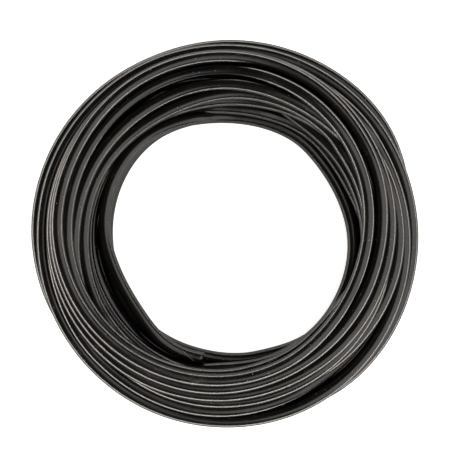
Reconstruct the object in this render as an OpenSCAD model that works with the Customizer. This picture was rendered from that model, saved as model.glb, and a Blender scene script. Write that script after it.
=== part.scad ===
// Soaker hose: one length of porous rubber hose, wound up into a loose coil.
// The coil lies flat on the floor, Z is its axis and the origin is the middle of its underside.
// It is wound anticlockwise from its lower end: four layers that spiral out, in, out and in again.
// The upper layers stay one turn back from the hole, and the last turn slips down on to that ledge.

/* [Hose] */
// Outside diameter of the hose
hose_od = 16; // [12:0.5:18]
// Wall thickness of the hose
hose_wall = 1.65; // [1:0.05:3]
// Flat that the coil's weight presses into a turn on the floor, as a share of the hose's diameter
floor_flat = 0.1; // [0.02:0.01:0.1]

/* [Coil] */
// Diameter across the outside of the coil
coil_od = 502; // [460:2:600]
// Room between neighbouring turns
turn_gap = 0.5; // [0.45:0.05:1.2]
// Turns in the bottom layer
bottom_turns = 5.5; // [4.5:1:5.5]
// Where each layer turns back, in degrees anticlockwise from +X
reversal_angle = 115; // [0:1:359]
// Part of a turn that a climb to the next layer takes
climb_turns = 0.5; // [0.4:0.05:0.5]

/* [Ends] */
// Length of each bored hose end
end_length = 18; // [10:1:24]
// Room between the lower end and the turn that lies over it
end_room = 1.5; // [1:0.1:4]
// How far past the ledge the last turn runs, in turns
last_run = 0.373; // [0.1:0.001:0.45]

/* [Hidden] */
hose_colour = "#37383a";
rings_per_turn = 24;
hose_sides = 6;
bore_sides = 96;
bore_r = hose_od / 2 - hose_wall;
// The least that two stretches of the hose may be apart
least_gap_wanted = 0.4;
// Turns that the upper layers stay back from the hole, which leaves a ledge one turn wide
ledge_turns = 1;

// Spacing of the turns across a layer, and of the layers, which lie on each other as round hose does
pitch = hose_od + turn_gap;
layer_pitch = hose_od;
outer_r = coil_od / 2 - hose_od / 2;
inner_r = outer_r - bottom_turns * pitch;
// Height of the bottom layer's centre line above the floor that flattens it
floor_r = hose_od / 2 - floor_flat * hose_od;

// Turn numbers at which the winding turns back, and at which the ledge is reached and the curve ends
upper_turns = bottom_turns - ledge_turns;
first_out = bottom_turns;
first_in = first_out + upper_turns;
second_out = first_in + upper_turns;
second_in = second_out + upper_turns;
on_ledge = second_in + ledge_turns;
curve_end = on_ledge + last_run;
// The last turn stays on the top layer this far, then sinks to the ledge, two layers down
sink_start = second_in + climb_turns / 2;
sink_layers = 2;
// Each end leaves the curve straight and level, for one diameter and then the bored length
straight_run = hose_od + end_length;
// The lower end lies this far inside the turn over it, so that round hose clears round hose
over_end = (1 - floor_flat) * hose_od;
end_aside = sqrt(pow(hose_od + end_room, 2) - pow(over_end, 2));
// A straight run reaches farthest out at its tip, so the curve starts this far in from its turn
end_inset = inner_r - sqrt(pow(inner_r - end_aside, 2) - pow(straight_run, 2));
// Part of a turn in which the lower end bends in and rises until its round end clears the floor
lower_bend = 0.2;
// Part of a turn in which the upper end rises as much, off the turn under it
upper_lift = 0.15;

// 0 before a, 1 after b and a smooth step between them
function eased(t, a, b) =
    let (u = min(max((t - a) / (b - a), 0), 1)) u * u * (3 - 2 * u);

// Turns out from the innermost turn: up and down at one turn of spacing for each turn of hose
function turns_out(t) =
    t < first_out ? t :
    t < first_in ? 2 * first_out - t :
    t < second_out ? t - first_in + ledge_turns :
    t < on_ledge ? on_ledge - t : 0;

// Layers up from the floor: one climb about each turning point, then the last turn sinks
function climb(t, turning_point) =
    min(max((t - turning_point) / climb_turns + 0.5, 0), 1);
function layers_up(t) =
    climb(t, first_out) + climb(t, first_in) + climb(t, second_out)
    - sink_layers * eased(t, sink_start, on_ledge);

// How much of the lower end's bend is left at turn t, and how much of the upper end's lift is there
function bend_left(t) = 1 - eased(t, 0, lower_bend);
function lift_there(t) = eased(t, curve_end - upper_lift, curve_end);

function angle_at(t) = reversal_angle + 360 * t;
function radius_at(t) = inner_r + pitch * turns_out(t) - end_inset * bend_left(t);
function height_at(t) = floor_r + layer_pitch * layers_up(t)
    + (hose_od / 2 - floor_r) * (bend_left(t) + lift_there(t));
function centre_at(t) = [
    radius_at(t) * cos(angle_at(t)),
    radius_at(t) * sin(angle_at(t)),
    height_at(t)
];

// Where each end's bored length starts, one diameter past the curve, in whole micrometres
lower_heading = angle_at(0) - 90;
upper_heading = (angle_at(curve_end) + 90) % 360;
function ahead(heading, distance) = distance * [cos(heading), sin(heading), 0];
function in_microns(point) = [for (coordinate = point) round(coordinate * 1000) / 1000];
lower_joint = in_microns(centre_at(0) + ahead(lower_heading, hose_od));
upper_joint = in_microns(centre_at(curve_end) + ahead(upper_heading, hose_od));

// One cross-section, square to the heading, with its lowest points on the floor at the lowest
function ring(centre, outward) = [
    for (side = [0 : hose_sides - 1])
        let (
            a = 360 * side / hose_sides,
            out = cos(a) * hose_od / 2,
            up = sin(a) * hose_od / 2
        )
        [
            centre.x + out * cos(outward),
            centre.y + out * sin(outward),
            max(centre.z + up, 0)
        ]
];

// Turn numbers of the rings: evenly round the coil, so that neighbouring turns have parallel sides
ring_turns = [
    for (i = [0 : floor(curve_end * rings_per_turn)]) i / rings_per_turn,
    curve_end
];
curve_rings = [for (t = ring_turns) ring(centre_at(t), angle_at(t))];
hose_rings = concat(
    [ring(lower_joint, angle_at(0))],
    curve_rings,
    [ring(upper_joint, angle_at(curve_end))]
);

// Triangles over a hexagonal end, as a fan about its first point, and the same seen from behind
function fan(first) = [for (k = [1 : hose_sides - 2]) [first, first + k, first + k + 1]];
function fan_behind(first) = [for (k = [1 : hose_sides - 2]) [first, first + k + 1, first + k]];

// Two triangles for each side of the tube between two rings
function wall(rings_count) = [
    for (i = [0 : rings_count - 2], k = [0 : hose_sides - 1])
        let (
            here = i * hose_sides + k,
            next = i * hose_sides + (k + 1) % hose_sides
        )
        each [
            [here, next, here + hose_sides],
            [next, next + hose_sides, here + hose_sides]
        ]
];

// A closed tube through a list of rings
module tube(rings) {
    polyhedron(
        points = [for (r = rings, p = r) p],
        faces = concat(
            fan_behind(0),
            wall(len(rings)),
            fan((len(rings) - 1) * hose_sides)
        ),
        convexity = 20
    );
}

// The wound hose, from where its lower end joins to where its upper end joins
module hose_coil() {
    color(hose_colour)
        tube(hose_rings);
}

// A straight hose end with its open bore, from a joint on the coil outwards
module hose_end(joint, heading) {
    translate(joint)
        rotate([0, 90, heading])
            difference() {
                cylinder(h = end_length, d = hose_od, $fn = bore_sides);
                translate([0, 0, -1])
                    cylinder(h = end_length + 2, r = bore_r, $fn = bore_sides);
            }
}

module upper_end() {
    color(hose_colour)
        hose_end(upper_joint, upper_heading);
}

module lower_end() {
    color(hose_colour)
        hose_end(lower_joint, lower_heading);
}

// Gap between two cross-sections in one plane: the best of the directions square to their sides
function reach(ring_points, outward, tilt, sign) =
    max([
        for (p = ring_points)
            sign * ((p.x * cos(outward) + p.y * sin(outward)) * cos(tilt) + p.z * sin(tilt))
    ]);
function section_gap(a, b, outward) =
    max([
        for (tilt = [0 : 30 : 330])
            -reach(a, outward, tilt, 1) - reach(b, outward, tilt, -1)
    ]);
turn_gaps = [
    for (i = [0 : len(curve_rings) - 2])
        for (j = [i + rings_per_turn : rings_per_turn : len(curve_rings) - 2])
            section_gap(curve_rings[i], curve_rings[j], angle_at(ring_turns[i]))
];

// Gap between a straight end and the turns from first to last, between round hose and round hose
gap_step = 0.01;
function end_gap(joint, heading, first, last) =
    min([
        for (s = [-hose_od : 2 : end_length], t = [first : gap_step : last])
            norm(joint + ahead(heading, s) - centre_at(t)) - hose_od
    ]);
end_gaps = [
    end_gap(lower_joint, lower_heading, 0.5, curve_end),
    end_gap(upper_joint, upper_heading, 0, curve_end - 0.5)
];

least_gap = min(concat(turn_gaps, end_gaps));
function total(values, i = 0) = i < len(values) ? values[i] + total(values, i + 1) : 0;
chords = [
    for (i = [1 : len(curve_rings) - 1])
        norm(centre_at(ring_turns[i]) - centre_at(ring_turns[i - 1]))
];
hose_length = total(chords) + 2 * straight_run;
echo(least_gap_mm = least_gap, is_wide_enough = least_gap > least_gap_wanted);
echo(turns_gap_mm = min(turn_gaps), end_gaps_mm = end_gaps);
echo(hose_length_m = hose_length / 1000, turns = curve_end, hole_mm = 2 * inner_r - hose_od);
echo(lower_joint = lower_joint, lower_heading = lower_heading);
echo(upper_joint = upper_joint, upper_heading = upper_heading);
assert(least_gap > least_gap_wanted, "two stretches of the hose are too close");

hose_coil();
upper_end();
lower_end();
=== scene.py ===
# %% [markdown]
# # A soaker hose, wound up on the floor
# One object fills this lesson: a long porous rubber hose, wound by hand into a loose coil.
# The measured part is loaded first and isn't changed. All that follows is its looks: where
# each turn of the hose lies, what rubber it is made of, and the light it is seen in.

# %% Load the measured part
import math
import bpy
import numpy as np
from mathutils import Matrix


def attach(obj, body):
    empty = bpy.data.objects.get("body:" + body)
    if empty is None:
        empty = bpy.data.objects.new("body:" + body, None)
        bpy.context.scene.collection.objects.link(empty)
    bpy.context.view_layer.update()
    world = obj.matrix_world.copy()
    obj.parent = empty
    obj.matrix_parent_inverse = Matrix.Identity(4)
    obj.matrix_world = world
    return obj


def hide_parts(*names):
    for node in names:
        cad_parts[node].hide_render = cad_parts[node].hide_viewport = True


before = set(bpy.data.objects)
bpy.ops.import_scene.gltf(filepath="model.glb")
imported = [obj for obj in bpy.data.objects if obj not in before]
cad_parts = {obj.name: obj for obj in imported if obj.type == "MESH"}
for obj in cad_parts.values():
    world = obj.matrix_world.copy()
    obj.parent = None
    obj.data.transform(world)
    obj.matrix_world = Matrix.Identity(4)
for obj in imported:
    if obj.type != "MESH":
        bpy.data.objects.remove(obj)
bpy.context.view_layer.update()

MM = 0.001
print("the measured part:", sorted(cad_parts))

# %% [markdown]
# ## The camera
# The coil is seen from straight above, from about the height of a standing person's chest.
# The lens follows from the width of floor that the picture takes in.

# %% Camera
CAMERA_HEIGHT = 1.3
FLOOR_WIDTH = 0.585
COIL_RIGHT_OF_MIDDLE = -0.0006
COIL_BELOW_MIDDLE = 0.0104
SENSOR_WIDTH = 36.0
FARTHEST_SEEN = 20

camera_data = bpy.data.cameras.new("camera")
camera_data.sensor_width = SENSOR_WIDTH
camera_data.lens = SENSOR_WIDTH * CAMERA_HEIGHT / FLOOR_WIDTH
camera_data.clip_end = FARTHEST_SEEN
camera = bpy.data.objects.new("camera", camera_data)
camera.location = (-COIL_RIGHT_OF_MIDDLE, COIL_BELOW_MIDDLE, CAMERA_HEIGHT)
bpy.context.scene.collection.objects.link(camera)
bpy.context.scene.camera = camera
print(f"lens {camera_data.lens:.0f} mm at {CAMERA_HEIGHT} m")

# %% [markdown]
# ## Where each turn lies
# A hose is one long piece, so its shape is a route: the line that its middle follows. A coil
# wound by hand is no neat spiral. Its turns wander in and out and cross over each other, and
# that is what the eye reads as a real heap of hose. So each turn is set out as a row of
# places. A place is an angle in degrees, anticlockwise from the right, a distance from the
# coil's axis in millimetres, and how firmly the turn is held there: 1 where it shows, and
# down to 0 where it runs out of sight, under others, and may shift. The distances are as
# they show from above, for a turn that rests on the floor.

# %% The turns, from the lower end to the upper end
TURNS = [
    [
        (101, 152, 1), (111, 153.5, 1), (120, 156, 1), (140, 156, 1), (160, 153, 1),
        (175, 152, 1), (200, 152.5, 1), (222, 156.5, 1), (235, 158.5, 1), (245, 159.5, 1),
        (262, 160.5, 1), (273, 163.5, 1), (280, 165.5, 1), (290, 165.5, 1), (297, 169.5, 1),
        (304, 174, 1), (325, 178.5, 1), (345, 179, 1),
    ],
    [
        (0, 176.5, 1), (15, 174.5, 1), (30, 174, 0.6), (60, 175, 0.3), (90, 173.5, 0.3),
        (120, 173.5, 0.3), (150, 174, 0.3), (180, 168, 1), (192, 165.5, 1), (205, 167, 1),
        (222, 170, 0.9), (238, 172.5, 0.6), (270, 179.5, 0.3), (300, 188.5, 0.3), (330, 195, 0.3),
    ],
    [
        (0, 197.5, 0.1), (30, 195.5, 0.1), (60, 193.5, 0.1), (90, 192.5, 0.1), (120, 193, 0.1),
        (150, 196.5, 0.1), (180, 197.5, 0.1), (210, 192.5, 0.1), (240, 192, 0.1),
        (270, 196.5, 0.1), (300, 204, 0.1), (330, 210.5, 0.1),
    ],
    [
        (0, 213, 0.1), (30, 212, 0.1), (60, 209.5, 0.1), (90, 208.5, 0.1), (120, 210.5, 0.1),
        (150, 213, 0.1), (180, 214.5, 0.1), (210, 209.5, 0.1), (240, 208.5, 0.1), (270, 212, 0.1),
        (300, 218.5, 0.1), (330, 223.5, 0.1),
    ],
    [
        (0, 229, 0.4), (12, 237.5, 0.8), (22, 243, 1), (30, 247, 1), (40, 248.5, 1),
        (55, 246.5, 1), (65, 245, 1), (90, 242, 1), (112, 239, 1), (135, 241, 1), (165, 242.5, 1),
        (180, 242.5, 1), (190, 241, 1), (203, 239.5, 1), (222, 233.5, 0.5), (240, 228, 0.5),
        (262, 227, 0.5), (285, 232, 0.6), (300, 243.5, 1), (308, 246.5, 1), (325, 246.5, 1),
        (345, 244.5, 1),
    ],
    [
        (0, 242.5, 1), (18, 241, 1), (30, 240.5, 1), (60, 238.5, 1), (90, 237, 1), (110, 237, 1),
        (140, 235, 1), (165, 235, 1), (180, 235, 1), (195, 237, 1), (207, 238.5, 1),
        (222, 239.5, 1), (245, 242, 1), (270, 243.5, 1), (300, 244.5, 1), (310, 243, 1),
        (320, 241.5, 1), (330, 239.5, 1), (345, 236, 1),
    ],
    [
        (0, 232.5, 1), (10, 230.5, 1), (20, 228.5, 1), (40, 228, 1), (55, 226.5, 1), (90, 224, 0),
        (130, 221, 0), (190, 224, 1), (205, 226, 1), (215, 228, 1), (230, 229, 1), (270, 231, 1),
        (290, 227, 1), (310, 223.5, 1), (325, 221.5, 1), (350, 218.5, 0),
    ],
    [
        (20, 212, 0), (60, 208, 0), (100, 208, 0), (150, 209.5, 0), (200, 210.5, 0),
        (240, 212, 0), (280, 216, 0), (308, 218.5, 1), (322, 221, 1), (337, 224, 1),
    ],
    [
        (0, 225, 1), (12, 223, 1), (25, 220, 1), (60, 212, 0), (100, 197.5, 0), (150, 191, 0),
        (200, 191, 0), (250, 192.5, 0), (300, 195, 0), (340, 195, 0),
    ],
    [
        (20, 208, 0), (60, 210.5, 0), (100, 212, 0), (150, 212, 0), (200, 213, 0), (235, 217, 1),
        (255, 219, 1), (270, 218.5, 1), (290, 216.5, 1), (310, 215.5, 1), (330, 214.5, 1),
    ],
    [
        (0, 212, 0), (40, 214.5, 0), (90, 221, 0), (130, 225.5, 1), (150, 224, 1), (180, 223, 1),
        (200, 221, 1), (220, 218.5, 1), (232, 217, 1), (250, 213.5, 1), (270, 209.5, 1),
        (290, 207, 1), (320, 209, 1), (340, 210.5, 1),
    ],
    [
        (0, 214, 1), (12, 216.5, 1), (27, 219, 1), (40, 222, 1), (50, 225, 1), (70, 228.5, 1),
        (90, 229.5, 1), (135, 224, 1), (145, 222.5, 1), (180, 219.5, 1), (200, 215.5, 1),
        (220, 211, 1), (240, 206, 1), (270, 200.5, 1), (285, 197, 1), (320, 195.5, 1),
        (340, 197.5, 1),
    ],
    [
        (0, 202.5, 1), (20, 211, 1), (40, 217, 1), (58, 223.5, 1), (75, 227.5, 1), (90, 229, 1),
        (120, 227, 1), (152, 219.5, 1), (180, 216.5, 1), (200, 210.5, 1), (220, 204, 1),
        (240, 197, 1), (270, 190, 1), (297, 185.5, 1), (317, 181, 1), (330, 180, 1),
    ],
    [
        (0, 185, 1), (20, 193, 1), (38, 199.5, 1), (60, 206.5, 1), (90, 211.5, 1),
        (120, 210.5, 1), (140, 207, 1), (180, 203.5, 1), (200, 201, 1), (220, 196, 1),
        (240, 190, 1), (270, 183.5, 1), (300, 179, 1), (330, 179.5, 0), (340, 197.5, 0.1),
    ],
    [
        (5, 200, 0.35), (25, 201, 0.4), (40, 196, 0.7), (54, 193, 0.8), (66, 192, 1),
        (90, 193.5, 1), (125, 189, 1), (150, 190.5, 1), (180, 193.5, 1), (200, 198.5, 1),
        (240, 197.5, 0), (280, 197.5, 0), (315, 195, 0),
    ],
    [
        (0, 190, 0.2), (25, 191, 0.3), (40, 190, 0.7), (50, 188, 0.8), (60, 186, 1), (90, 180, 1),
        (103, 175, 1), (118, 173, 1), (155, 179.5, 1), (180, 181.5, 1), (200, 185.5, 1),
        (210, 188.5, 1), (228, 191, 1), (270, 197, 0.2), (320, 200, 0.2),
    ],
    [
        (0, 191, 0), (40, 188, 1), (60, 181, 1), (75, 175, 1), (92, 171, 1), (108, 170, 1),
        (120, 172, 1), (130, 175, 1), (140, 176, 1), (160, 176, 1), (180, 178, 1), (200, 180, 1),
        (220, 181, 1), (240, 183.5, 1), (250, 184.5, 1), (290, 190, 0.4), (330, 190, 0.4),
    ],
    [
        (5, 183, 1), (20, 179.5, 1), (40, 175.5, 1), (58, 173.5, 1), (75, 180.5, 0.2),
        (90, 186, 0.1), (120, 188.5, 0), (150, 187, 0), (180, 190, 0), (210, 194, 0.2),
        (240, 197, 0.5), (270, 197, 0.6), (300, 197, 0.6), (335, 196, 0.6), (350, 190, 0.4),
    ],
    [
        (12, 177, 1), (20, 171.5, 1), (30, 170, 1), (50, 170, 1), (60, 166.5, 1), (70, 162.5, 1),
        (85, 160.5, 1), (110, 162, 0.2), (140, 170, 0.3), (160, 172.5, 0.8), (180, 173.5, 1),
        (200, 172.5, 1), (210, 172, 1), (222, 173, 1), (230, 176.5, 1), (237, 179.5, 1),
        (270, 178, 0.2), (304, 175, 1), (320, 174, 1), (337, 171, 1), (350, 169, 1),
    ],
    [
        (0, 166, 1), (15, 159.5, 1), (32, 155, 1), (40, 154.5, 1), (50, 156, 1), (65, 152.5, 1),
        (82, 149.5, 1), (90, 149.5, 1), (100, 151, 1), (115, 156, 1), (127, 160.5, 1),
        (140, 161, 1), (155, 159.5, 1), (165, 157.5, 1), (180, 155.5, 1), (197, 149, 1),
        (208, 147.5, 1), (223, 150, 1), (236, 159, 1), (245, 164, 1), (258, 165, 1),
        (263, 165, 1),
    ],
]
print(f"{len(TURNS)} turns, {sum(len(turn) for turn in TURNS)} places")

# %% [markdown]
# The height of each turn isn't known beforehand, but which turn lies over which is. This
# list gives a first guess of it, in pairs: how far along the hose, in turns, and a height.

# %% First guess of the heights, in millimetres
START_HEIGHTS = [
    (1, 7), (5.85, 7), (5.97, 7.5), (6.12, 22), (6.57, 22), (6.68, 9), (6.75, 7.5), (6.8, 12),
    (6.88, 21), (7, 23), (7.08, 24), (7.16, 30), (7.6, 28), (7.75, 22), (7.9, 20), (8.2, 20),
    (8.8, 28), (9, 30), (9.2, 20), (9.5, 18), (10.3, 24), (10.65, 30), (10.85, 38), (11.1, 32),
    (11.4, 34), (11.6, 40), (11.9, 46), (12.2, 48), (12.6, 52), (13, 56), (13.4, 62), (13.7, 65),
    (14, 56), (14.3, 52), (14.6, 46), (14.9, 44), (15.05, 48), (15.2, 50), (15.4, 40), (15.7, 36),
    (16, 36), (16.4, 36), (16.6, 31), (17, 30), (17.4, 30), (17.6, 20), (17.9, 20), (18.05, 25),
    (18.3, 28), (18.5, 28), (18.8, 23), (19, 18), (19.2, 16), (19.5, 7.5), (19.66, 7.5),
    (19.8, 18), (20, 14), (20.2, 8), (20.4, 22), (20.7, 22),
]
print(f"{len(START_HEIGHTS)} heights, up to {max(high for _, high in START_HEIGHTS)} mm")

# %% [markdown]
# ### One smooth line through the places
# Every turn is cut at the same 72 angles. Stations at one angle then lie in one upright
# plane through the axis, where the heap is a simple picture: a pile of flattened rings.

# %% Stations along the hose
STATIONS = 72
STATION_STEP = 360 / STATIONS
# The turns are counted from this number, where the lower end lies
FIRST_TURN = 1


def smooth_curve(knots, values, at):
    """A smooth curve through values at knots, read off at the places in at."""
    slope = np.gradient(values, knots)
    i = np.clip(np.searchsorted(knots, at, side="right") - 1, 0, len(knots) - 2)
    gap = knots[i + 1] - knots[i]
    u = (at - knots[i]) / gap
    near = (2 * u**3 - 3 * u**2 + 1) * values[i] + (u**3 - 2 * u**2 + u) * gap * slope[i]
    far = (3 * u**2 - 2 * u**3) * values[i + 1] + (u**3 - u**2) * gap * slope[i + 1]
    return near + far


places = np.array([
    (360 * (FIRST_TURN + number) + angle, distance, hold)
    for number, turn in enumerate(TURNS)
    for angle, distance, hold in turn
])
angles = np.arange(places[0, 0], places[-1, 0], STATION_STEP)
shown_radius = smooth_curve(places[:, 0], places[:, 1], angles)
held = np.interp(angles, places[:, 0], places[:, 2])
guess = np.array(START_HEIGHTS)
first_height = np.interp(angles / 360, guess[:, 0], guess[:, 1])
print(f"{len(angles)} stations over {(angles[-1] - angles[0]) / 360:.2f} turns")

# %% [markdown]
# ### Letting the heap settle
# Now the turns are let down on each other, much as rubber hose settles. Each step, two turns
# that are too close push each other apart. Where both of them show, the one that is known to
# lie over the other is lifted off it instead. Then everything sinks a little, and the hose
# is kept smooth along its length, because it is too stiff to kink. The hose starts thin and
# swells to its full size, so that the turns find their places without locking. A turn that
# shows keeps close to its line of sight, so a higher turn lies nearer the axis.
#
# This is a rough rule and no simulation of rubber. It leaves turns inside each other: mostly
# by a millimetre or two, by more in a crowd, and at one hidden crossing all the way.

# %% The hose's size, and where it is seen from
HOSE_OD = 16.0
# In the heap the hose is drawn slimmer, and pressed a little flat over its whole length
PRESSED_WIDTH = 15.5
PRESSED_HEIGHT = 13.8
SQUASH = PRESSED_WIDTH / PRESSED_HEIGHT
EYE_HEIGHT = CAMERA_HEIGHT / MM
EYE_ABOVE_FLOOR_TURN = EYE_HEIGHT - PRESSED_HEIGHT / 2


def line_of_sight(height):
    """Where a turn lies that shows at its given distance, if its middle is at this height."""
    return shown_radius * (EYE_HEIGHT - height) / EYE_ABOVE_FLOOR_TURN


print(f"hose {HOSE_OD:.0f} mm, drawn {PRESSED_WIDTH} mm wide and {PRESSED_HEIGHT} mm high")

# %% One row for each turn and one column for each angle
column = np.round((angles - angles[0]) / STATION_STEP).astype(int)
first_column = int(round((angles[0] % 360) / STATION_STEP))
row = (column + first_column) // STATIONS
column = (column + first_column) % STATIONS
rows = row.max() + 1


def as_grid(values):
    """Values along the hose, laid out as one row for each turn and one column for each angle."""
    grid = np.zeros((rows, STATIONS))
    grid[row, column] = values
    return grid


print(f"a grid of {rows} rows and {STATIONS} columns")

# %% Which turns show, and which of two lies over the other
# Held more firmly than this, a turn counts as one that shows
SHOWS = 0.6

there = as_grid(np.ones(len(angles))) > 0
shows = as_grid(held) > SHOWS
guessed = as_grid(first_height)
earlier, later = np.triu_indices(rows, 1)
both_there = there[earlier] & there[later]
both_show = shows[earlier] & shows[later]
later_is_above = np.where(guessed[later] > guessed[earlier], 1.0, -1.0)
print(f"{both_there.sum()} pairs of stations at one angle, {both_show.sum()} where both show")

# %% How the heap settles, in millimetres and in shares of what each step could undo
SETTLE_STEPS = 5000
# Share of its size that the hose starts at, and share of the steps after which it has all
THIN_START = 0.5
SWOLLEN_AFTER = 0.5
PUSH_SHARE = 0.5
LIFT_SHARE = 0.35
MOST_LIFTED = 3
# Share of a push that a firmly held turn withstands
WITHSTOOD = 0.8
# How fast a turn goes back to its line of sight, and how much faster a firmly held one does
RETURN_SHARE = 0.002
HELD_RETURN_SHARE = 0.08
SINK = 0.06
# How stiff the hose is, and over how many stations it is kept smooth, outwards and upwards
STIFFNESS = 0.25
SMOOTH_OUTWARD = 1.0
SMOOTH_UPWARD = 1.2
# The heap is pressed down where a turn's middle is higher than this
HIGHEST_MIDDLE = 62.5
PRESS_SHARE = 0.2
# Keeps the division by a distance possible where two middles meet
TINY = 1e-6
# A bell curve is as good as nothing at this many times its width
BELL_REACH = 3


def smoothed(values, stations):
    """Values along the hose, averaged by a bell curve as wide as a number of stations."""
    reach = int(BELL_REACH * stations + 1)
    weights = np.exp(-0.5 * (np.arange(-reach, reach + 1) / stations) ** 2)
    return np.convolve(np.pad(values, reach, mode="edge"), weights / weights.sum(), mode="valid")


print(f"{SETTLE_STEPS} steps, each sinking {SINK} mm")

# %% Settle the turns
height = first_height.copy()
radius = line_of_sight(height)
for step in range(SETTLE_STEPS):
    swelling = min(1, THIN_START + (1 - THIN_START) * step / (SWOLLEN_AFTER * SETTLE_STEPS))
    width = PRESSED_WIDTH * swelling
    radii = as_grid(radius)
    heights = as_grid(height)
    apart = radii[later] - radii[earlier]
    rise = (heights[later] - heights[earlier]) * SQUASH
    distance = np.sqrt(apart**2 + rise**2) + TINY
    # Two turns push each other straight apart unless both show. Each takes half of the push
    push = np.where(both_there & ~both_show, np.maximum(width - distance, 0), 0) / distance / 2
    out = push * apart
    lift = push * rise
    # Of two turns that show, the one that lies over the other is lifted
    needed = np.sqrt(np.maximum(width**2 - apart**2, 0))
    missing = np.maximum(needed - later_is_above * rise, 0)
    missing = np.where(both_show & (np.abs(apart) < width), np.minimum(missing, MOST_LIFTED), 0)
    lift = (lift + LIFT_SHARE * later_is_above * missing) / SQUASH
    outward = np.zeros((rows, STATIONS))
    upward = np.zeros((rows, STATIONS))
    np.add.at(outward, later, out)
    np.add.at(outward, earlier, -out)
    np.add.at(upward, later, lift)
    np.add.at(upward, earlier, -lift)
    radius = radius + PUSH_SHARE * outward[row, column] * (1 - WITHSTOOD * held)
    height = height + PUSH_SHARE * upward[row, column]
    returned = (RETURN_SHARE + HELD_RETURN_SHARE * held) * (line_of_sight(height) - radius)
    radius = radius + returned
    height = height - SINK
    radius = radius + STIFFNESS * (smoothed(radius, SMOOTH_OUTWARD) - radius)
    height = height + STIFFNESS * (smoothed(height, SMOOTH_UPWARD) - height)
    height = np.maximum(height, PRESSED_HEIGHT / 2 * swelling)
    height = height - PRESS_SHARE * np.maximum(height - HIGHEST_MIDDLE, 0)
print(f"the heap settled {height.max() + PRESSED_HEIGHT / 2:.1f} mm high")

# %% [markdown]
# ## The hose as one mesh
# The settled stations are joined by a smooth line, and rings of points are set along it,
# square to its direction. Joined ring to ring they make one tube, with no break from end to
# end. The ends are cut square and open, so the tube turns inwards there and runs back as
# the bore, to a depth where no light reaches.

# %% The middle line, resampled evenly
RING_STEP = 0.005
# Degrees between the points of the finer line that the length is measured on
FINE_STEP = 0.5

settled = np.stack([
    radius * np.cos(np.radians(angles)),
    radius * np.sin(np.radians(angles)),
    height,
], 1) * MM
fine_angles = np.arange(angles[0], angles[-1], FINE_STEP)
fine_line = np.stack([smooth_curve(angles, settled[:, axis], fine_angles) for axis in range(3)], 1)
travelled = np.r_[0, np.cumsum(np.linalg.norm(np.diff(fine_line, axis=0), axis=1))]
hose_length = travelled[-1]
ring_count = int(hose_length / RING_STEP)
evenly = np.linspace(0, hose_length, ring_count)
middle = np.stack([np.interp(evenly, travelled, fine_line[:, axis]) for axis in range(3)], 1)
print(f"hose {hose_length:.2f} m long, {ring_count} rings")

# %% Directions at each ring
tangent = np.gradient(middle, axis=0)
tangent /= np.linalg.norm(tangent, axis=1)[:, None]
sideways = np.cross(tangent, [0, 0, 1])
sideways /= np.linalg.norm(sideways, axis=1)[:, None]
upwards = np.cross(sideways, tangent)
steepest = np.degrees(np.arcsin(np.abs(tangent[:, 2]).max()))
print(f"the hose climbs at most {steepest:.0f} degrees")

# %% Rings of points
SIDES = 24
WALL = 0.00165
BORE_RINGS = 30
turned = np.linspace(0, 2 * math.pi, SIDES, endpoint=False)


def ring_points(inset, first, last):
    """Rings from first to last, pressed a little flat, this far inside the hose's surface."""
    wide = PRESSED_WIDTH * MM / 2 - inset
    high = PRESSED_HEIGHT * MM / 2 - inset
    points = middle[first:last, None]
    points = points + wide * np.cos(turned)[None, :, None] * sideways[first:last, None]
    return points + high * np.sin(turned)[None, :, None] * upwards[first:last, None]


outside = ring_points(0, 0, ring_count)
outside[:, :, 2] = np.maximum(outside[:, :, 2], 0)
near_bore = ring_points(WALL, 0, BORE_RINGS)
far_bore = ring_points(WALL, ring_count - BORE_RINGS, ring_count)
print(f"{len(outside)} rings outside, and a bore of {BORE_RINGS} rings in each end")

# %% Faces between the rings


def tube_faces(rings, first_point, inward):
    """Four-sided faces between neighbouring rings, facing inwards where it is a bore."""
    here = np.arange(rings - 1)[:, None] * SIDES
    side = np.arange(SIDES)[None]
    next_side = (side + 1) % SIDES
    corners = [here + side, here + next_side, here + SIDES + next_side, here + SIDES + side]
    faces = np.stack(np.broadcast_arrays(*corners), -1).reshape(-1, 4)
    return (faces[:, ::-1] if inward else faces) + first_point


near_start = ring_count * SIDES
far_start = near_start + BORE_RINGS * SIDES
side = np.arange(SIDES)
next_side = (side + 1) % SIDES
last_ring = (ring_count - 1) * SIDES
last_bore_ring = far_start + (BORE_RINGS - 1) * SIDES
near_rim = np.stack([next_side, side, near_start + side, near_start + next_side], 1)
far_rim = np.stack([
    last_ring + side, last_ring + next_side, last_bore_ring + next_side, last_bore_ring + side,
], 1)
faces = np.concatenate([
    tube_faces(ring_count, 0, False),
    tube_faces(BORE_RINGS, near_start, True),
    tube_faces(BORE_RINGS, far_start, True),
    near_rim,
    far_rim,
]).tolist()
faces.append((near_start + (BORE_RINGS - 1) * SIDES + side).tolist())
faces.append((far_start + side[::-1]).tolist())

hose_mesh = bpy.data.meshes.new("soaker_hose")
points = np.concatenate([part.reshape(-1, 3) for part in (outside, near_bore, far_bore)])
hose_mesh.from_pydata(points.tolist(), [], faces)
hose_mesh.polygons.foreach_set("use_smooth", np.ones(len(hose_mesh.polygons), bool))
hose = bpy.data.objects.new("soaker_hose", hose_mesh)
bpy.context.scene.collection.objects.link(hose)
print(f"one tube of {len(hose_mesh.polygons)} faces")

# %% [markdown]
# ### A place on the hose for each point
# The marks that an extruder leaves run along the hose, however it lies. Each point keeps
# its place on a straightened hose: the length to it, and where it is round the section.
# The rubber's pattern is drawn in that place, so it bends with the hose and has no seam.

# %% Places on the straightened hose


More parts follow.
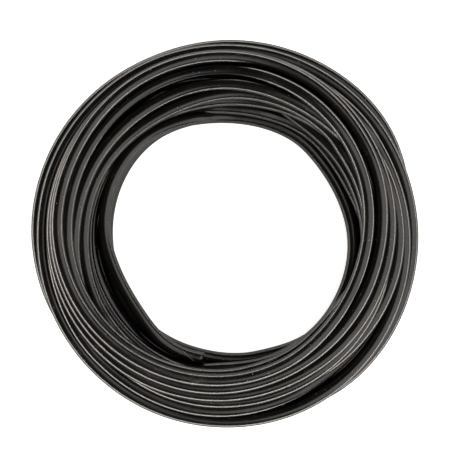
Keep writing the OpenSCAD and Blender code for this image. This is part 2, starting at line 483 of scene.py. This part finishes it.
def straightened(points_round, first, last):
    """Length along the hose and the place in a round section, for rings from first to last."""
    count = last - first
    along = np.repeat(evenly[first:last], SIDES)
    across = np.tile(points_round * np.cos(turned), count)
    up = np.tile(points_round * np.sin(turned), count)
    return np.stack([along, across, up], 1)


hose_radius = HOSE_OD * MM / 2
on_hose = np.concatenate([
    straightened(hose_radius, 0, ring_count),
    straightened(hose_radius - WALL, 0, BORE_RINGS),
    straightened(hose_radius - WALL, ring_count - BORE_RINGS, ring_count),
])
place = hose_mesh.attributes.new("place_on_hose", "FLOAT_VECTOR", "POINT")
place.data.foreach_set("vector", on_hose.astype(np.float32).ravel())
print(f"{len(on_hose)} points have a place on the straightened hose")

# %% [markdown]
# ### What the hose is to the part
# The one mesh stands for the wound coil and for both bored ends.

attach(hose, "root")
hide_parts("hose_coil", "upper_end", "lower_end")
print(f"declared as a cord {hose_length:.2f} m long")

# %% [markdown]
# ## Porous rubber
# A soaker hose is extruded from ground tyre rubber and a little polyethylene. It is nearly
# black, and its skin is satin: smooth along the hose, with fine streaks from the die, and
# dull in grains and pores. The skin gives long soft highlights, and the grains break them.

# %% Colours and nodes


def linear(hex_colour):
    """An sRGB colour such as #3a3a3a as the linear numbers that Blender wants."""
    channels = [int(hex_colour[i:i + 2], 16) / 255 for i in (1, 3, 5)]
    curve = [c / 12.92 if c <= 0.04045 else ((c + 0.055) / 1.055) ** 2.4 for c in channels]
    return (*curve, 1.0)


def add_node(tree, kind, links=(), **settings):
    """A node with its settings, where input_ names a socket, and its links from other nodes."""
    node = tree.nodes.new(kind)
    for name, value in settings.items():
        if name.startswith("input_"):
            key = name.removeprefix("input_")
            key = int(key) if key.isdigit() else key.replace("_", " ")
            node.inputs[key].default_value = value
        else:
            setattr(node, name, value)
    for socket, output in links:
        tree.links.new(output, node.inputs[socket])
    return node


MIDDLE_GREY = "#808080"
print(f"the grey {MIDDLE_GREY} reflects {linear(MIDDLE_GREY)[0]:.0%} of the light")


# %% Rubber: where the pattern is drawn
# Streaks from the die are this many times as long as they are wide
STREAK_STRETCH = 40

rubber = bpy.data.materials.new("porous_rubber")
rubber.use_nodes = True
tree = rubber.node_tree
skin = tree.nodes["Principled BSDF"]

place_node = add_node(tree, "ShaderNodeAttribute", attribute_name="place_on_hose")
on_hose_place = place_node.outputs["Vector"]
stretched = add_node(
    tree, "ShaderNodeMapping", [("Vector", on_hose_place)],
    input_Scale=(1 / STREAK_STRETCH, 1, 1),
).outputs["Vector"]
print(f"the pattern follows the attribute {place_node.attribute_name}")

# %% [markdown]
# Three patterns make the skin. Streaks about 1.2 mm wide run along it. Grains of ground
# rubber, about 1 mm across, roughen it. Blotches about 35 mm across are a little paler,
# where dust and handling have dulled the skin.

# %% Rubber: streaks, grains and blotches
STREAK_WIDTH = 0.0012
GRAIN_SIZE = 0.0009
BLOTCH_SIZE = 0.035


def noise(place, size, detail, roughness):
    """Noise whose features are about this size, in metres, at a place."""
    return add_node(
        tree, "ShaderNodeTexNoise", [("Vector", place)],
        input_Scale=1 / size, input_Detail=detail, input_Roughness=roughness,
    ).outputs["Fac"]


streaks = noise(stretched, STREAK_WIDTH, detail=3.0, roughness=0.6)
grains = noise(on_hose_place, GRAIN_SIZE, detail=2.0, roughness=0.7)
blotches = noise(on_hose_place, BLOTCH_SIZE, detail=4.0, roughness=0.65)
print(f"streaks {STREAK_WIDTH / MM:.1f} mm, grains {GRAIN_SIZE / MM:.1f} mm across")

# %% Rubber: factors and mixed colours


def between(value, low, high, from_factor=0.0, to_factor=1.0):
    """Where a value lies between two numbers, as a factor. Low may be the greater of them."""
    return add_node(
        tree, "ShaderNodeMapRange", [("Value", value)], clamp=True,
        input_From_Min=low, input_From_Max=high, input_To_Min=from_factor, input_To_Max=to_factor,
    ).outputs["Result"]


def product(first, second):
    """Two factors multiplied."""
    return add_node(
        tree, "ShaderNodeMath", [(0, first), (1, second)], operation="MULTIPLY",
    ).outputs["Value"]


def mixed(factor, first, second):
    """Two colours mixed by a factor. Each is a hex colour or the output of a node."""
    node = add_node(tree, "ShaderNodeMix", [("Factor", factor)], data_type="RGBA")
    for name, colour in (("A", first), ("B", second)):
        socket = [s for s in node.inputs if s.name == name and s.type == "RGBA"][0]
        if isinstance(colour, str):
            socket.default_value = linear(colour)
        else:
            tree.links.new(colour, socket)
    return [s for s in node.outputs if s.type == "RGBA"][0]


# %% Rubber: base colour
BLACK_RUBBER = "#070708"
DULLED_RUBBER = "#161514"
# The strengths of a blotch between which the skin goes from black to dulled
DULLED_BETWEEN = (0.42, 0.70)

dulled = between(blotches, *DULLED_BETWEEN)
colour = mixed(dulled, BLACK_RUBBER, DULLED_RUBBER)
print(f"skin from {BLACK_RUBBER} to {DULLED_RUBBER}")

# %% [markdown]
# ### Marks of use
# Pulled over the ground and wound up again, the hose is scuffed in places: short pale
# scrapes that run a little askew. Specks of grit sit in its pores. One longer scratch runs
# aslant on its top, just before its upper end.

# %% Scuffs
SCUFF_SIZE = 0.002
SCUFF_STRETCH = 7
SCUFF_SLANT = math.radians(25)
SCUFFED_RUBBER = "#4e4a46"
# Strengths of noise where a scrape shows, and of a blotch where scrapes lie
SCRAPE_BETWEEN = (0.56, 0.70)
SCUFFED_BETWEEN = (0.54, 0.66)

askew = add_node(
    tree, "ShaderNodeMapping", [("Vector", on_hose_place)],
    input_Rotation=(0, 0, SCUFF_SLANT), input_Scale=(1 / SCUFF_STRETCH, 1, 1),
).outputs["Vector"]
scrapes = between(noise(askew, SCUFF_SIZE, detail=3.0, roughness=0.7), *SCRAPE_BETWEEN)
scuffed_places = between(blotches, *SCUFFED_BETWEEN)
colour = mixed(product(scrapes, scuffed_places), colour, SCUFFED_RUBBER)
print(f"scuffs about {SCUFF_SIZE / MM:.0f} mm wide")

# %% Specks of grit
SPECK_SPACING = 0.008
SPECK_RADIUS = 0.00055
# Share of its radius within which a speck has its full colour
SPECK_CORE = 0.6
GRIT = "#8f8a82"

specks = add_node(
    tree, "ShaderNodeTexVoronoi", [("Vector", on_hose_place)], input_Scale=1 / SPECK_SPACING,
).outputs["Distance"]
speck_edge = SPECK_RADIUS / SPECK_SPACING
colour = mixed(between(specks, speck_edge, speck_edge * SPECK_CORE), colour, GRIT)
print(f"specks {2 * SPECK_RADIUS / MM:.1f} mm across, about {SPECK_SPACING / MM:.0f} mm apart")

# %% One scratch before the upper end
SCRATCH_FROM_END = 0.019
SCRATCH_OFF_CROWN = 0.001
SCRATCH_HALF_LENGTH = 0.0105
SCRATCH_HALF_WIDTH = 0.0004
SCRATCH_SLANT = math.radians(26)
# Shares of its half length and half width within which the scratch has its full strength
FULL_LENGTH = 0.8
FULL_WIDTH = 0.3
# Heights over the hose's middle between which it comes in, as it is on the top side only
TOP_SIDE_BETWEEN = (0.001, 0.003)

scratch_place = add_node(
    tree, "ShaderNodeMapping", [("Vector", on_hose_place)], vector_type="TEXTURE",
    input_Location=(hose_length - SCRATCH_FROM_END, SCRATCH_OFF_CROWN, 0),
    input_Rotation=(0, 0, SCRATCH_SLANT),
).outputs["Vector"]
scratch_parts = add_node(tree, "ShaderNodeSeparateXYZ", [("Vector", scratch_place)])


def within(part, half_size, full_share):
    """Whether a part of the scratch's place is within a half size, to either side."""
    size = add_node(
        tree, "ShaderNodeMath", [(0, scratch_parts.outputs[part])], operation="ABSOLUTE",
    ).outputs["Value"]
    return between(size, half_size, full_share * half_size)


in_length = within("X", SCRATCH_HALF_LENGTH, FULL_LENGTH)
in_width = within("Y", SCRATCH_HALF_WIDTH, FULL_WIDTH)
on_top = between(scratch_parts.outputs["Z"], *TOP_SIDE_BETWEEN)
scratch = product(product(in_length, in_width), on_top)
colour = mixed(scratch, colour, GRIT)
tree.links.new(colour, skin.inputs["Base Color"])
print(f"one scratch {2 * SCRATCH_HALF_LENGTH / MM:.0f} mm long")

# %% [markdown]
# ### Gloss and relief
# Rubber bends light a little more than plastic does, for the carbon black in it. Its skin
# is smoother in the streaks, so the long highlights are drawn out into fine lines.

# %% Gloss
RUBBER_IOR = 1.6
OILY_TINT = "#fffbf6"
# The streaks' noise keeps mostly between these two, where the skin is smoothest and roughest
STREAKS_BETWEEN = (0.3, 0.7)
SMOOTHEST = 0.12
ROUGHEST = 0.22

skin.inputs["IOR"].default_value = RUBBER_IOR
skin.inputs["Specular Tint"].default_value = linear(OILY_TINT)
roughness = between(streaks, *STREAKS_BETWEEN, SMOOTHEST, ROUGHEST)
tree.links.new(roughness, skin.inputs["Roughness"])
print(f"roughness from {SMOOTHEST} to {ROUGHEST}")

# %% [markdown]
# Seen at a slant, the open pores swallow light instead of mirroring it. So the gloss fades
# down the flanks of each turn. A slant of 0 faces the eye, and 1 is seen edge-on.

# %% Open pores at a slant
EVEN_BLEND = 0.5
FADES_BETWEEN = (0.29, 0.6)
# At 0.5 a skin mirrors as much as its index of refraction says
FULL_MIRRORING = 0.5
LEAST_MIRRORING = 0.03

slant = add_node(tree, "ShaderNodeLayerWeight", input_Blend=EVEN_BLEND).outputs["Facing"]
mirroring = between(slant, *FADES_BETWEEN, FULL_MIRRORING, LEAST_MIRRORING)
tree.links.new(mirroring, skin.inputs["Specular IOR Level"])
print(f"gloss fades between slants of {FADES_BETWEEN[0]} and {FADES_BETWEEN[1]}")

# %% Relief
STREAK_RELIEF = 0.00002
GRAIN_RELIEF = 0.00008
streak_bump = add_node(
    tree, "ShaderNodeBump", [("Height", streaks)], input_Distance=STREAK_RELIEF,
).outputs["Normal"]
grain_bump = add_node(
    tree, "ShaderNodeBump", [("Height", grains), ("Normal", streak_bump)],
    input_Distance=GRAIN_RELIEF,
).outputs["Normal"]
tree.links.new(grain_bump, skin.inputs["Normal"])
hose_mesh.materials.append(rubber)
print(f"porous rubber of {len(tree.nodes)} nodes")

# %% [markdown]
# ## A white studio
# The hose lies on a white floor that runs out of the picture. The floor takes light and
# shadow as a white sheet does. To the camera, and in reflections, it also glows nearly
# white, so that it reads as clean white without more light on the hose.

# %% Floor
FLOOR_HALF = 5.0
FLOOR_GLOW = 0.9
FLOOR_WHITE = "#f4f4f4"

floor_mesh = bpy.data.meshes.new("floor")
corners = [(x * FLOOR_HALF, y * FLOOR_HALF, 0) for x, y in ((-1, -1), (1, -1), (1, 1), (-1, 1))]
floor_mesh.from_pydata(corners, [], [(0, 1, 2, 3)])
floor = bpy.data.objects.new("floor", floor_mesh)
bpy.context.scene.collection.objects.link(floor)

sheet = bpy.data.materials.new("white_floor")
sheet.use_nodes = True
floor_tree = sheet.node_tree
floor_tree.nodes.clear()
rays = add_node(floor_tree, "ShaderNodeLightPath")
seen = add_node(
    floor_tree, "ShaderNodeMath",
    [(0, rays.outputs["Is Camera Ray"]), (1, rays.outputs["Is Glossy Ray"])], operation="MAXIMUM",
)
seen = add_node(
    floor_tree, "ShaderNodeMath",
    [(0, seen.outputs[0]), (1, rays.outputs["Is Transmission Ray"])], operation="MAXIMUM",
)
glow_strength = add_node(
    floor_tree, "ShaderNodeMath", [(0, seen.outputs[0])], operation="MULTIPLY",
    input_1=FLOOR_GLOW,
)
glow = add_node(
    floor_tree, "ShaderNodeEmission", [("Strength", glow_strength.outputs[0])],
    input_Color=(1, 1, 1, 1),
)
paint = add_node(floor_tree, "ShaderNodeBsdfDiffuse", input_Color=linear(FLOOR_WHITE))
both = add_node(floor_tree, "ShaderNodeAddShader", [(0, paint.outputs[0]), (1, glow.outputs[0])])
add_node(floor_tree, "ShaderNodeOutputMaterial", [("Surface", both.outputs[0])])
floor_mesh.materials.append(sheet)
print(f"a floor {2 * FLOOR_HALF:.0f} m square")

# %% [markdown]
# The room is a white tent with a low, brightly lit wall and an open, dark top. The wall is
# brighter on one side. Each turn shows it as one thin line along its free side, and the side
# that faces the heap stays black. One large soft box, high on the right, lays a broad grey
# band on the crown of every turn.

# %% Room
WALL_BRIGHT = 17.5
WARM_WHITE = "#fff9f4"
TENT_DIM = 0.07
# How far up the wall's light reaches, where 0 is level and 1 is straight up
WALL_TOP = 0.33
LIT_BEARING = math.radians(250)
# Share of its light that the wall has on the far side from its lit bearing
FAR_SIDE = 0.65
# Where it goes from the one to the other: -1 is the far side and 1 is the lit bearing
SIDES_BETWEEN = (-0.25, 0.35)

room = bpy.data.worlds.new("white_tent")
bpy.context.scene.world = room
room.use_nodes = True
room_tree = room.node_tree
skylight = room_tree.nodes["Background"]
skylight.inputs["Color"].default_value = linear(WARM_WHITE)
direction = add_node(room_tree, "ShaderNodeTexCoord").outputs["Generated"]
upward = add_node(room_tree, "ShaderNodeSeparateXYZ", [("Vector", direction)]).outputs["Z"]
wall = add_node(
    room_tree, "ShaderNodeMapRange", [("Value", upward)], interpolation_type="SMOOTHSTEP",
    input_From_Min=0.0, input_From_Max=WALL_TOP, input_To_Min=WALL_BRIGHT, input_To_Max=TENT_DIM,
)
to_lit_side = add_node(
    room_tree, "ShaderNodeVectorMath", [(0, direction)], operation="DOT_PRODUCT",
    input_1=(math.cos(LIT_BEARING), math.sin(LIT_BEARING), 0),
)
side_factor = add_node(
    room_tree, "ShaderNodeMapRange", [("Value", to_lit_side.outputs["Value"])],
    interpolation_type="SMOOTHSTEP",
    input_From_Min=SIDES_BETWEEN[0], input_From_Max=SIDES_BETWEEN[1],
    input_To_Min=FAR_SIDE, input_To_Max=1.0,
)
tent = add_node(
    room_tree, "ShaderNodeMath",
    [(0, wall.outputs["Result"]), (1, side_factor.outputs["Result"])], operation="MULTIPLY",
)
room_tree.links.new(tent.outputs["Value"], skylight.inputs["Strength"])
print(f"a wall of strength {WALL_BRIGHT} under a top of {TENT_DIM}")

# %% Lamp


def soft_box(name, bearing, elevation, distance, side, power):
    """A square lamp that faces the coil, placed by its bearing and elevation in degrees."""
    data = bpy.data.lights.new(name, "AREA")
    data.shape = "SQUARE"
    data.size = side
    data.energy = power
    lamp = bpy.data.objects.new(name, data)
    flat = distance * math.cos(math.radians(elevation))
    lamp.location = (
        flat * math.cos(math.radians(bearing)),
        flat * math.sin(math.radians(bearing)),
        distance * math.sin(math.radians(elevation)),
    )
    lamp.rotation_euler = (0, math.radians(90 - elevation), math.radians(bearing))
    bpy.context.scene.collection.objects.link(lamp)
    print(f"{name}: {side} m wide, {power} W")


soft_box("main_box", bearing=340, elevation=57, distance=1.8, side=2.1, power=20.5)
bpy.context.scene.view_settings.view_transform = "Standard"
